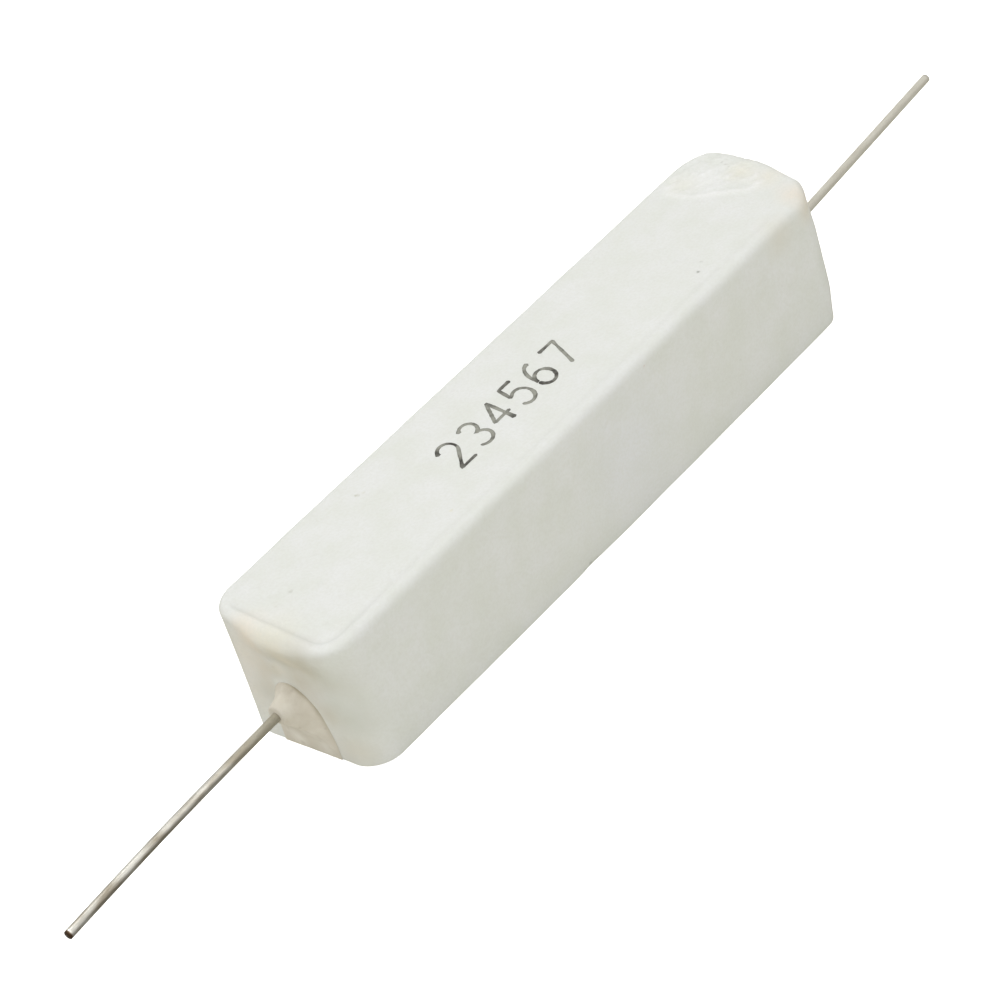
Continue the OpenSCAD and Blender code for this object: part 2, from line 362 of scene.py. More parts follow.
loops = np.concatenate([inner_loops.reshape(-1, 3), outer_points])
loop_rows = len(inner_loops) + len(outer)
points = np.concatenate([loops, panel_points, ceiling.reshape(-1, 3)])
faces = np.concatenate([
    grid_faces(loop_rows, len(foot), closed=True),
    grid_faces(*panel.shape[:2], first=len(loops)),
    grid_faces(*ceiling.shape[:2], first=len(loops) + len(panel_points))])
groove_mask = np.zeros(len(points))
groove_mask[inner_loops[..., 0].size:len(loops)] = in_groove
ridge_mask, lump_mask = ridge_and_lumps(points[:, 0], points[:, 1]) * smooth(points[:, 2], 9, 9.4)
case = make_mesh("ceramic_case_skin", points, faces,
                 {"groove": groove_mask, "ridge": ridge_mask, "lumps": lump_mask})


def new_material(name):
    """A material with its Principled shader, and two short ways to build on it: add makes a node
    with its settings, values and links, and feed links a socket of the shader."""
    material = bpy.data.materials.new(name)
    material.use_nodes = True
    tree = material.node_tree
    shader = tree.nodes["Principled BSDF"]

    def add(kind, values=(), links=(), **settings):
        made = tree.nodes.new(kind)
        for key, value in settings.items():
            setattr(made, key, value)
        for socket, value in dict(values).items():
            made.inputs[socket].default_value = value
        for socket, source in dict(links).items():
            tree.links.new(source, made.inputs[socket])
        return made

    def feed(label, source):
        tree.links.new(source, shader.inputs[label])

    return material, shader, add, feed


def ramp(add, mask, dark, light):
    """A colour that runs with the mask from dark to light; each is a place on it and a colour."""
    tone = add("ShaderNodeValToRGB", links={"Fac": mask})
    for stop, (position, paint) in zip(tone.color_ramp.elements, (dark, light)):
        stop.position = position
        stop.color = (*paint, 1)
    return tone.outputs["Color"]


def times(add, mask, share):
    """The mask times a fixed share."""
    return add("ShaderNodeMath", operation="MULTIPLY", values={1: share},
               links={0: mask}).outputs[0]


def plus_share(add, mask, share, other):
    """The mask times a fixed share, plus another mask."""
    return add("ShaderNodeMath", operation="MULTIPLY_ADD", values={1: share},
               links={0: mask, 2: other}).outputs[0]


def between(add, mask, low, high):
    """A value that runs with the mask from low to high."""
    return add("ShaderNodeMapRange", values={"To Min": low, "To Max": high},
               links={"Value": mask}).outputs["Result"]


def paint_over(add, colour, mask, paint):
    """The colour, with the paint over it as far as the mask says."""
    return add("ShaderNodeMix", data_type="RGBA", values={7: (*paint, 1)},
               links={0: mask, 6: colour}).outputs[2]


def relief(add, height, strength, depth):
    """The normal of a surface with this height over it, depth in metres."""
    return add("ShaderNodeBump", values={"Strength": strength, "Distance": depth},
               links={"Height": height}).outputs["Normal"]


def new_group(name, inputs, outputs):
    """A shader node group with named sockets. inputs and outputs map a socket's name to its type and
    its default, or None where it has none."""
    group = bpy.data.node_groups.new(name, "ShaderNodeTree")
    for way, sockets in (("INPUT", inputs), ("OUTPUT", outputs)):
        for label, (kind, default) in sockets.items():
            socket = group.interface.new_socket(name=label, in_out=way, socket_type=kind)
            if default is not None:
                socket.default_value = default
    return group, group.nodes.new("NodeGroupInput"), group.nodes.new("NodeGroupOutput")


def spot_group():
    """Mask of a round spot, from its distance in radii plus Wobble, a noise that makes its edge
    ragged: 0 where they come to 1.5 or more, 1 at Core or less, and a soft step between."""
    group, given, result = new_group(
        "ragged_spot",
        {"Position": ("NodeSocketVector", None), "Centre": ("NodeSocketVector", None),
         "Radius": ("NodeSocketFloat", 0.0002), "Core": ("NodeSocketFloat", 0.3),
         "Wobble": ("NodeSocketFloat", 0.5)},
        {"Mask": ("NodeSocketFloat", None)})
    nodes, link = group.nodes, group.links.new
    away = nodes.new("ShaderNodeVectorMath")
    away.operation = "DISTANCE"
    link(given.outputs["Position"], away.inputs[0])
    link(given.outputs["Centre"], away.inputs[1])
    share = nodes.new("ShaderNodeMath")
    share.operation = "DIVIDE"
    link(away.outputs["Value"], share.inputs[0])
    link(given.outputs["Radius"], share.inputs[1])
    uneven = nodes.new("ShaderNodeMath")
    link(share.outputs[0], uneven.inputs[0])
    link(given.outputs["Wobble"], uneven.inputs[1])
    edge = nodes.new("ShaderNodeMapRange")
    edge.interpolation_type = "SMOOTHSTEP"
    edge.inputs["From Min"].default_value = 1.5
    link(given.outputs["Core"], edge.inputs["From Max"])
    link(uneven.outputs[0], edge.inputs["Value"])
    link(edge.outputs["Result"], result.inputs["Mask"])
    return group


def grain_group():
    """Grain of a fired or cast material: slow mottling, and the height of its fine grain and pits."""
    group, given, result = new_group(
        "fired_grain",
        {"Position": ("NodeSocketVector", None), "Mottle Scale": ("NodeSocketFloat", 300.0),
         "Grain Scale": ("NodeSocketFloat", 5000.0), "Pit Scale": ("NodeSocketFloat", 1500.0)},
        {"Mottle": ("NodeSocketFloat", None), "Grain": ("NodeSocketFloat", None),
         "Pits": ("NodeSocketFloat", None)})
    nodes, link = group.nodes, group.links.new
    for label, scale, detail in (("Mottle", "Mottle Scale", 4), ("Grain", "Grain Scale", 3)):
        noise = nodes.new("ShaderNodeTexNoise")
        noise.inputs["Detail"].default_value = detail
        link(given.outputs["Position"], noise.inputs["Vector"])
        link(given.outputs[scale], noise.inputs["Scale"])
        link(noise.outputs["Fac"], result.inputs[label])
    cells = nodes.new("ShaderNodeTexVoronoi")
    link(given.outputs["Position"], cells.inputs["Vector"])
    link(given.outputs["Pit Scale"], cells.inputs["Scale"])
    pits = nodes.new("ShaderNodeMapRange")
    pits.interpolation_type = "SMOOTHSTEP"
    pits.inputs["From Min"].default_value = 0.22
    pits.inputs["From Max"].default_value = 0.08
    link(cells.outputs["Distance"], pits.inputs["Value"])
    link(pits.outputs["Result"], result.inputs["Pits"])
    return group


ragged_spot = spot_group()
fired_grain = grain_group()


def paint_spots(add, place, colour, spots, core, wobble):
    """The colour with spots over it, one after the other; each has its centre, radius, paint and
    strength."""
    for centre, radius, paint, strength in spots:
        spot = add("ShaderNodeGroup", node_tree=ragged_spot,
                   values={"Centre": tuple(c * MM for c in centre), "Radius": radius * MM,
                           "Core": core},
                   links={"Position": place, "Wobble": wobble})
        colour = paint_over(add, colour, times(add, spot.outputs["Mask"], strength), paint)
    return colour


# Place, radius, colour and strength of each stain and speck on the case, in millimetres. The tints are
# beige and olive on the end walls and the rough patch, and cooler on the -Y side; the olive ones under
# the near brow are part stain, part painted shade under the brow. The specks are burnt grains in the
# body, and the dark of the chip.
CASE_TINTS = (
    ((-24.6, 1.7, 8.6), 1.9, (0.9, 0.78, 0.63), 0.8),
    ((-24.7, -0.8, 8.4), 1.8, (0.75, 0.66, 0.51), 0.75),
    ((-24.7, -2.6, 8.4), 1.9, (0.58, 0.53, 0.4), 0.65),
    ((-24.0, 3.4, 6.6), 2.8, (0.84, 0.77, 0.66), 0.7),
    ((-24.0, 3.8, 3.4), 2.8, (0.82, 0.76, 0.66), 0.6),
    ((-24.0, 2.3, 3.6), 1.5, (0.58, 0.55, 0.46), 0.5),
    ((-24.0, -4.3, 6.6), 2.3, (0.65, 0.65, 0.56), 0.7),
    ((-24.0, -4.4, 3.8), 2.3, (0.62, 0.63, 0.54), 0.75),
    ((-24.0, -4.2, 1.2), 1.9, (0.69, 0.68, 0.58), 0.6),
    # Olive under the near brow and beside the crack below it: part stain, part painted shade under the
    # brow.
    ((-24.0, 1.6, 6.5), 1.7, (0.62, 0.54, 0.39), 0.3),
    ((-24.0, -0.4, 7.1), 2.0, (0.6, 0.53, 0.37), 0.5),
    ((-24.0, -2.2, 7.1), 2.0, (0.6, 0.54, 0.39), 0.5),
    ((-24.0, -1.1, 5.4), 1.6, (0.56, 0.49, 0.35), 0.45),
    ((-24.0, 2.1, 5.2), 1.4, (0.64, 0.57, 0.44), 0.35),
    ((-24.0, 0.5, 6.3), 0.8, (0.86, 0.8, 0.68), 0.5),
    ((-24.0, -2.6, 3.8), 1.6, (0.62, 0.56, 0.43), 0.5),
    ((-24.0, -3.3, 1.2), 1.8, (0.74, 0.69, 0.58), 0.45),
    ((-24.3, 0.0, 9.6), 2.6, (0.82, 0.8, 0.66), 0.5),
    ((2.0, -half_w, 4.5), 6.0, (0.8, 0.81, 0.86), 0.4),
    ((-24.3, 2.0, 7.9), 0.9, (0.9, 0.82, 0.68), 0.5),
    ((-24.5, -1.1, 7.8), 0.9, (0.88, 0.82, 0.68), 0.45),
    ((-24.1, 1.0, 5.9), 0.9, (0.62, 0.56, 0.42), 0.4),
    ((-24.1, 1.0, 4.9), 0.45, (0.92, 0.9, 0.82), 0.7),
    ((22.9, -4.4, 9.3), 1.6, (0.88, 0.76, 0.62), 0.5),
    ((22.6, -5.4, 8.9), 1.4, (0.8, 0.7, 0.53), 0.45),
    ((23.7, 0.6, 9.6), 1.4, (0.88, 0.83, 0.66), 0.45),
    ((23.8, -1.6, 9.5), 1.5, (0.88, 0.82, 0.67), 0.45),
    ((19.4, -half_w, 8.8), 1.7, (0.74, 0.67, 0.52), 0.3),
    ((21.2, 3.6, 9.6), 1.5, (0.87, 0.85, 0.72), 0.35),
    ((22.4, 2.4, 9.6), 1.7, (0.93, 0.93, 0.91), 0.5),
)
CASE_SPECKS = (
    ((-12.33, 3.18, case_h), 0.34, (0.32, 0.3, 0.14), 0.65),
    ((-11.95, 2.95, case_h), 0.22, (0.5, 0.46, 0.28), 0.4),
    ((-20.89, 1.09, case_h), 0.34, (0.46, 0.46, 0.38), 0.6),
    ((-22.3, 1.0, case_h), 0.2, (0.55, 0.5, 0.42), 0.3),
    ((-11.2, -3.57, case_h), 0.34, (0.68, 0.62, 0.36), 0.35),
    ((13.67, -3.43, case_h), 0.3, (0.2, 0.2, 0.16), 0.8),
    ((14.61, -2.96, case_h), 0.26, (0.4, 0.4, 0.36), 0.45),
    ((24.2, 2.5, 9.5), 0.3, (0.3, 0.27, 0.24), 0.6),
    ((24.05, 2.1, 9.55), 0.25, (0.36, 0.32, 0.28), 0.5),
    ((23.9, 1.72, 9.6), 0.15, (0.4, 0.36, 0.3), 0.4),
    ((5.15, -half_w, 8.93), 0.2, (0.5, 0.22, 0.14), 0.55),
    ((13.21, -half_w, 3.5), 0.3, (0.42, 0.42, 0.42), 0.22),
    ((14.29, -half_w, 0.72), 0.5, (0.85, 0.84, 0.78), 0.4),
    ((20.46, -half_w, 4.83), 0.26, (0.4, 0.42, 0.5), 0.3),
    ((-22.93, -half_w, 1.59), 0.2, (0.36, 0.34, 0.3), 0.4),
    ((-24.0, 1.1, 7.0), 0.4, (0.34, 0.29, 0.18), 0.35),
    ((-24.0, 1.0, 6.25), 0.26, (0.4, 0.34, 0.22), 0.25),
    ((-4.3, -half_w, 0.12), 0.3, (0.16, 0.13, 0.1), 0.55),
    ((-3.75, -half_w, 0.17), 0.34, (0.14, 0.11, 0.08), 0.75),
    ((-3.2, -half_w, 0.12), 0.28, (0.16, 0.13, 0.1), 0.55),
)


def case_material():
    """Unglazed fired ceramic: off-white, faintly mottled green and yellow, fine-grained, pitted,
    with painted highlight on its ridge and lumps and painted shade in its groove and pits.
    """
    material, shader, add, feed = new_material("white_ceramic")
    place = add("ShaderNodeTexCoord").outputs["Object"]
    grain = add("ShaderNodeGroup", node_tree=fired_grain,
                values={"Mottle Scale": 420, "Grain Scale": 5200, "Pit Scale": 700},
                links={"Position": place})
    colour = ramp(add, grain.outputs["Mottle"], (0.35, (0.785, 0.8, 0.745)), (0.65, (0.82, 0.828, 0.8)))
    for spots, core, scale, ragged in ((CASE_TINTS, 0.1, 800, 0.5), (CASE_SPECKS, 0.5, 5000, 1.6)):
        noise = add("ShaderNodeTexNoise", values={"Scale": scale, "Detail": 3},
                    links={"Vector": place})
        wobble = times(add, noise.outputs["Fac"], ragged)
        colour = paint_spots(add, place, colour, spots, core, wobble)
    # Painted highlight: the ridge and the tops of the lumps are painted lighter, as where they catch
    # the light.
    for label, most, paint in (("ridge", 0.6, (0.95, 0.95, 0.93)), ("lumps", 0.45, (0.96, 0.96, 0.95))):
        raised = add("ShaderNodeAttribute", attribute_name=label)
        colour = paint_over(add, colour, times(add, raised.outputs["Fac"], most), paint)
    fine = add("ShaderNodeMapRange", values={"From Min": 0.35, "From Max": 0.7, "To Max": 0.3},
               links={"Value": grain.outputs["Grain"]})
    colour = paint_over(add, colour, fine.outputs["Result"], (0.7, 0.7, 0.63))
    # Painted shade in the groove: it is painted grey as far as the groove is deep.
    groove = add("ShaderNodeAttribute", attribute_name="groove")
    colour = paint_over(add, colour, times(add, groove.outputs["Fac"], 0.22), (0.56, 0.56, 0.52))
    # Painted shade in the pits.
    colour = paint_over(add, colour, times(add, grain.outputs["Pits"], 0.03), (0.5, 0.49, 0.42))
    feed("Base Color", colour)
    feed("Roughness", between(add, grain.outputs["Mottle"], 0.5, 0.68))
    height = plus_share(add, grain.outputs["Pits"], -1.5, grain.outputs["Grain"])
    feed("Normal", relief(add, height, 0.35, 0.00003))
    shader.inputs["Specular IOR Level"].default_value = 0.4
    return material


case.data.materials.append(case_material())
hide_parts("ceramic_case")
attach(case, "root")

# Marking
# Black ink stamped on the marked face, as plain digits of one line. Each stroke is a thin film with
# round ends, a little uneven in width and fuller where it starts, that follows the face under it.
ink_t = 0.004
ink_lift = 0.003
glyph_h = 2.75
glyph_w = 1.45
stroke_w = 0.25
blob = 0.45
blob_l = 0.3
wander_share = 0.3
path_step = 0.09
text_x, text_y = -7.75, -1.5
slant = 0.13
glyph_places = (0.0, 2.1, 4.2, 6.3, 8.4, 10.5)


def arc_points(cx, cy, rx, ry, start, end, steps=14):
    """Points of an ellipse's arc, angles in degrees, in units of the glyph's width and height."""
    a = np.radians(np.linspace(start, end, steps))
    return np.stack([cx + rx * np.cos(a), cy + ry * np.sin(a)], axis=1)


# Strokes of each digit, in units of the glyph's width and height
DIGITS = {
    "2": [np.concatenate([arc_points(0.5, 0.72, 0.46, 0.28, 165, -35), [[0.04, 0.0], [1.0, 0.0]]])],
    "3": [np.concatenate([arc_points(0.48, 0.75, 0.42, 0.25, 150, -80),
                          arc_points(0.48, 0.26, 0.48, 0.26, 85, -150)])],
    "4": [np.array([[0.72, 0.0], [0.72, 1.0], [0.0, 0.32], [1.0, 0.32]])],
    "5": [np.concatenate([[[0.92, 1.0], [0.16, 1.0], [0.08, 0.55]],
                          arc_points(0.48, 0.32, 0.48, 0.32, 125, -150)])],
    "6": [np.concatenate([arc_points(0.62, 0.45, 0.58, 0.55, 80, 180),
                          arc_points(0.5, 0.3, 0.46, 0.3, 180, -180)])],
    "7": [np.array([[0.02, 1.0], [0.98, 1.0], [0.36, 0.0]])],
}


def stroke_film(path, seed):
    """A flat closed film along a path: the path is resampled, given a half width that wanders with
    the seed and round ends, and laid on the marked face. Rows run along the path, and the section
    is low left, low right, high right, high left."""
    lengths = np.concatenate([[0], np.cumsum(np.linalg.norm(np.diff(path, axis=0), axis=1))])
    at = np.linspace(0, lengths[-1], max(8, int(lengths[-1] / path_step)))
    line = np.stack([np.interp(at, lengths, path[:, k]) for k in (0, 1)], axis=1)
    along = np.gradient(line, axis=0)
    along /= np.linalg.norm(along, axis=1)[:, None]
    across = np.stack([-along[:, 1], along[:, 0]], axis=1)
    rng = np.random.default_rng(seed)
    wander = np.convolve(rng.normal(size=len(at) + 6), np.ones(7) / 7, "valid")
    end_gap = np.minimum(at, at[-1] - at) / (stroke_w / 2)
    round_end = np.sqrt(np.clip(1 - (1 - np.clip(end_gap, 0, 1)) ** 2, 0.02, 1))
    fuller = blob * np.exp(-(at / blob_l) ** 2)
    half = stroke_w / 2 * round_end * (1 + wander_share * wander + fuller)
    left, right = line + across * half[:, None], line - across * half[:, None]
    rows = []
    for edge, lift in ((left, 0), (right, 0), (right, ink_t), (left, ink_t)):
        height = case_h - panel_drop * groove_left(*edge.T) + panel_relief(*edge.T)
        height += ink_lift + lift
        rows.append(np.column_stack([edge, height]))
    return np.stack(rows, axis=1)


films, film_faces, start = [], [], 0
for place, digit in zip(glyph_places, "234567"):
    for path in DIGITS[digit]:
        drawn = path * [glyph_w, glyph_h]
        drawn[:, 0] += text_x + place + slant * drawn[:, 1]
        drawn[:, 1] += text_y
        film = stroke_film(drawn, seed=int(place * 10) + 11)
        rows = len(film)
        films.append(film.reshape(-1, 3))
        film_faces += grid_faces(rows, 4, first=start, closed=True).tolist()
        film_faces += [[start, start + 1, start + 2, start + 3],
                       [start + 4 * rows - 1 - k for k in range(4)]]
        start += 4 * rows
marking = make_mesh("marking", np.concatenate(films), film_faces)


def ink_material():
    """Stamping ink: nearly black, thinner and greyer in patches, slightly glossy."""
    material, _, add, feed = new_material("marking_ink")
    place = add("ShaderNodeTexCoord").outputs["Object"]
    thin = add("ShaderNodeTexNoise", values={"Scale": 1100, "Detail": 3},
               links={"Vector": place}).outputs["Fac"]
    feed("Base Color", ramp(add, thin, (0.34, (0.05, 0.045, 0.035)), (0.58, (0.33, 0.33, 0.28))))
    feed("Roughness", between(add, thin, 0.4, 0.7))
    feed("Normal", relief(add, thin, 0.2, 0.00002))
    return material


marking.data.materials.append(ink_material())
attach(marking, "root")

# Cement filling
# Beige potting cement, poured round the element and smoothed off level with the open face. It fills
# both notches, is smeared over their edges and stands out in a hollow-flanked mound round each lead.
# Along one side of each notch it has shrunk away and left a crack.
pot_gap = 0.02
skin_gap = 0.004
axis_z = 3.78
element_tilt = np.radians(0.95)
lead_r = 0.3
mound_out = 1.7
mound_tip_r = 0.62
mound_rough = 0.1
crack_open = 0.05
face_in = 0.05
face_dish = 0.08
face_waves = 0.05
OUTLINE = 24
block_l, block_w = half_l - end_wall_t - pot_gap, half_w - wall_t - pot_gap
block_h = case_h - base_t - pot_gap


def plug_outline(spread=0.0):
    """Outline of the cement in a notch, y and z, wider than the notch by spread: along the open face,
    up, over the crown, down. It narrows, leans and widens as the notch and its lip do."""
    plug_r = notch_r - skin_gap
    flat = np.linspace(-plug_r, plug_r, OUTLINE, endpoint=False)
    rise = np.linspace(0, notch_z, OUTLINE // 2, endpoint=False)
    crown = np.linspace(0, np.pi, OUTLINE, endpoint=False)
    y = np.concatenate([flat, np.full(len(rise), plug_r), plug_r * np.cos(crown),
                        np.full(len(rise), -plug_r)])
    z = np.concatenate([np.zeros(len(flat)), rise, notch_z + plug_r * np.sin(crown),
                        notch_z - rise])
    wider_y = np.concatenate([flat / plug_r, np.ones(len(rise)), np.cos(crown), -np.ones(len(rise))])
    wider_z = np.concatenate([np.zeros(len(flat) + len(rise)), np.sin(crown), np.zeros(len(rise))])
    return press_notch(y, z) + crown_lean(z) + spread * wider_y, z + spread * wider_z


def block_outline():
    """Outline of the cement inside the trough, with as many points in each of its four runs."""
    flat = np.linspace(-block_w, block_w, OUTLINE, endpoint=False)
    rise = np.linspace(0, block_h, OUTLINE // 2, endpoint=False)
    y = np.concatenate([flat, np.full(len(rise), block_w), -flat, np.full(len(rise), -block_w)])
    z = np.concatenate([np.zeros(len(flat)), rise, np.full(len(flat), block_h), block_h - rise])
    return y, z


def crack_depth(y, z, share):
    """How open the crack is at a place of the mound, where share runs from the notch's edge to the
    lead: widest beside the crown, on the -Y side, and none at the foot."""
    beside = smooth(-y, -1.0, 0.3) * smooth(z, 0.6, 4.6)
    return beside * np.exp(-((share - 0.05) / 0.14) ** 2)


def face_out(end, y, z):
    """How far the end face of the case at this end stands out at a place, mm."""
    plane = np.stack([np.full_like(y, end * half_l), y, z], axis=-1).reshape(-1, 3)
    swell = swell_near(y, z) if end < 0 else swell_far(y, z)
    return swell + fired_waves(plane).reshape(y.shape)


def mound_sections(end, lead_z):
    """Sections of the mound at one end (1 far, -1 near), from the end face to the lead: the notch's
    outline drawn in towards the lead, each further out, with hollow flanks, flatter below the lead,
    and a rough skin. Gives the crack's depth at each point too."""
    y, z = plug_outline(lip_r * 1.15)
    share = (np.linspace(0, 1, 26) ** 1.4)[:, None]
    to_tip = mound_tip_r / np.hypot(y, z - lead_z)
    tip_y, tip_z = y * to_tip, (z - lead_z) * to_tip + lead_z
    ys, zs = y * (1 - share) + tip_y * share, z * (1 - share) + tip_z * share
    lean = 0.35 - 0.25 * smooth(lead_z - zs, 0.5, 2.5)
    rise = (mound_out - pot_gap) * (lean * share + (1 - lean) * share ** 2.4)
    places = np.stack([np.full_like(ys, end * 30), ys, zs], axis=-1).reshape(-1, 3)
    rough = (waves(places, 1.6, 21) + 0.4 * waves(places, 0.6, 22)).reshape(ys.shape)
    rise += mound_rough * rough * np.sin(np.pi * np.clip(share * 1.2, 0, 1))
    crack = crack_depth(ys, zs, share)
    rise += face_out(end, ys, zs) * (1 - share) - crack_open * crack
    xs = end * (half_l + pot_gap + rise)
    return np.stack([xs, ys, zs], axis=-1), crack


def flat_section(x, outline):
    """An upright section of the cement at x, from its outline's y and z."""
    y, z = outline
    return np.stack([np.full(len(y), x), y, z], axis=-1)


sections, cracks = [], []
for end, lead_z in ((-1, axis_z + half_l * np.tan(element_tilt)),
                    (1, axis_z - half_l * np.tan(element_tilt))):
    mound, crack = mound_sections(end, lead_z)
    tip = mound[-1].copy()
    centre = np.array([end * (half_l + mound_out), 0, lead_z])
    closing = [centre + (tip - centre) * k for k in (0.75, 0.4, 0.0)]
    plug = [flat_section(end * x, plug_outline())
            for x in np.linspace(block_l, half_l - lip_r, 4)]
    for bend in np.radians([30, 60, 80]):
        over = flat_section(end * (half_l - lip_r * (1 - np.sin(bend))),
                            plug_outline(lip_r * (1 - np.cos(bend))))
        over[:, 0] += end * face_out(end, over[:, 1], over[:, 2])
        plug.append(over)
    sections.append([*closing[::-1], *mound[::-1], *plug[::-1]])
    still = np.zeros(len(tip))
    cracks.append([*[still] * 3, *crack[::-1], *[still] * len(plug)])
middle = [flat_section(x, block_outline()) for x in np.linspace(-block_l, block_l, 91)]
body = np.array([*sections[0], *middle, *sections[1][::-1]])
crack_mask = np.array([*cracks[0], *[still] * len(middle), *cracks[1][::-1]]).ravel()
body_points = body.reshape(-1, 3)
sag = (np.abs(body_points[:, 2]) < 1e-9) & (np.abs(body_points[:, 0]) < half_l)
inside = smooth(half_w - wall_t - np.abs(body_points[:, 1]), 0, 1.2)
dish = face_dish + face_waves * waves(body_points, 4, 23)
body_points[:, 2] += sag * (face_in + inside * dish)
cement = make_mesh("cement_fill_skin", body_points,
                   grid_faces(len(body), body.shape[1], closed=True), {"crack": crack_mask})


# Place, radius, colour and strength of each tint on the cement, in millimetres: painted shade below the
# near crown, dark down the flank on its +Y side, painted light along its foot and round the lead, and
# one dark spot
CEMENT_TINTS = (
    ((-24.4, -0.2, 4.85), 1.1, (0.3, 0.25, 0.16), 0.8),
    ((-24.7, 1.7, 3.4), 1.6, (0.58, 0.54, 0.44), 0.8),
    ((-24.2, 0.9, 0.8), 1.4, (0.92, 0.89, 0.81), 0.9),
    ((-24.2, -1.2, 0.7), 1.4, (0.9, 0.87, 0.79), 0.85),
    ((-25.5, 0.1, 4.1), 0.7, (0.8, 0.8, 0.72), 0.5),
    ((-24.2, 0.8, 0.3), 0.3, (0.3, 0.26, 0.2), 0.6),
)


def cement_material():
    """Set potting cement: dull beige, with fine sand; painted shade and painted light in places."""
    material, _, add, feed = new_material("potting_cement")
    place = add("ShaderNodeTexCoord").outputs["Object"]
    grain = add("ShaderNodeGroup", node_tree=fired_grain,
                values={"Mottle Scale": 700, "Grain Scale": 4200, "Pit Scale": 1500},
                links={"Position": place})
    colour = ramp(add, grain.outputs["Mottle"], (0.3, (0.63, 0.58, 0.48)), (0.7, (0.76, 0.72, 0.63)))
    colour = paint_spots(add, place, colour, CEMENT_TINTS, 0.1, grain.outputs["Mottle"])
    # Painted shade in the crack: its opening is painted dark, in patches.
    crack = add("ShaderNodeAttribute", attribute_name="crack")
    patchy_crack_shade = add("ShaderNodeMapRange", values={"From Min": 0.25, "From Max": 0.8, "To Min": 0.5},
               links={"Value": grain.outputs["Mottle"]})
    dark = add("ShaderNodeMath", operation="MULTIPLY", use_clamp=True,
               links={0: crack.outputs["Fac"], 1: patchy_crack_shade.outputs["Result"]})
    colour = paint_over(add, colour, dark.outputs[0], (0.33, 0.285, 0.185))
    # Painted shade in the pits.
    colour = paint_over(add, colour, times(add, grain.outputs["Pits"], 0.14), (0.3, 0.25, 0.18))
    feed("Base Color", colour)
    feed("Roughness", between(add, grain.outputs["Grain"], 0.75, 0.95))
    height = plus_share(add, grain.outputs["Pits"], -0.4, grain.outputs["Grain"])
    feed("Normal", relief(add, height, 0.5, 0.00005))
    return material


cement.data.materials.append(cement_material())
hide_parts("cement_fill")
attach(cement, "root")

# Leads
# Tinned, drawn wire. Each has a flat welded head on its end cap, runs straight through the cement,
# bends a little where it comes out and ends in a blunt cut.
SIDES = 20
head_r, head_t = 0.55, 0.25
cap_face_x = 18.5
bend_half = 0.45
cut_bevel = 0.05

# Slope, reach in x, bow and shift of each lead past the case, then where the near lead is soiled and
# where its burr is, as distances from the middle
near_slope, near_reach, near_bow, near_shift = -np.tan(np.radians(2.78)), 44.25, 0.15, -0.13
far_slope, far_reach, far_bow, far_shift = np.tan(np.radians(4.3)), 42.6, 0.0, 0.09
soil_full, soil_end = 26.0, 31.5
burr_start, burr_full = near_reach - 0.15, near_reach - 0.05


def bent_line(end, slope, reach, bow, shift):
    """Centre line of a lead from its cap, in the plane y = 0: along the element's axis and off it by
    shift where it comes out, a bend spread over a short length, then straight at its slope with a
    slight bow to its tip."""
    exit_x = half_l + mound_out
    x = np.concatenate([np.linspace(cap_face_x, exit_x - bend_half, 12),
                        np.linspace(exit_x - bend_half, exit_x + bend_half, 9)[1:],
                        np.linspace(exit_x + bend_half, reach, 70)[1:]])
    inner = -end * np.tan(element_tilt)
    turned = np.clip((x - exit_x + bend_half) / (2 * bend_half), 0, 1)
    slopes = inner + (slope - inner) * turned
    z = axis_z + inner * cap_face_x + np.concatenate(
        [[0], np.cumsum(np.diff(x) * (slopes[1:] + slopes[:-1]) / 2)])
    free = np.clip((x - exit_x) / (reach - exit_x), 0, 1)
    z = z + bow * np.sin(np.pi * free) + shift * smooth(x, cap_face_x, exit_x)
    return np.stack([end * x, np.zeros_like(x), z], axis=1)


def make_lead(name, node, end, slope, reach, bow, shift):
    """A lead with its welded head and its cut tip, standing for the CAD node."""
    line = bent_line(end, slope, reach, bow, shift)
    step = line[1] - line[0]
    step /= np.linalg.norm(step)
    tip_step = line[-1] - line[-2]
    tip_step /= np.linalg.norm(tip_step)
    head = np.array([line[0], line[0], line[0] + step * head_t, line[0] + step * head_t])
    tip = np.array([line[-1], line[-1] + tip_step * cut_bevel, line[-1] + tip_step * cut_bevel])
    full = np.concatenate([head, line[1:], tip])
    radius = np.concatenate([[0.0, head_r, head_r, lead_r], np.full(len(line) - 1, lead_r),
                             [lead_r * 0.97, lead_r * 0.86, 0.0]])
    along = np.concatenate([np.repeat(step[None], 4, 0), np.gradient(line, axis=0)[1:],
                            np.repeat(tip_step[None], 3, 0)])
    along /= np.linalg.norm(along, axis=1)[:, None]
    up = np.stack([-along[:, 2], np.zeros(len(full)), along[:, 0]], axis=1)
    a = np.linspace(0, 2 * np.pi, SIDES, endpoint=False)[None, :, None]
    ring = np.sin(a) * up[:, None] + np.cos(a) * np.array([0, 1, 0])
    skin = full[:, None] + radius[:, None, None] * ring
    piece = make_mesh(name, skin.reshape(-1, 3), grid_faces(len(full), SIDES, closed=True))
    piece.data.materials.append(wire_metal)
    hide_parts(node)
    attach(piece, "root")
    return piece


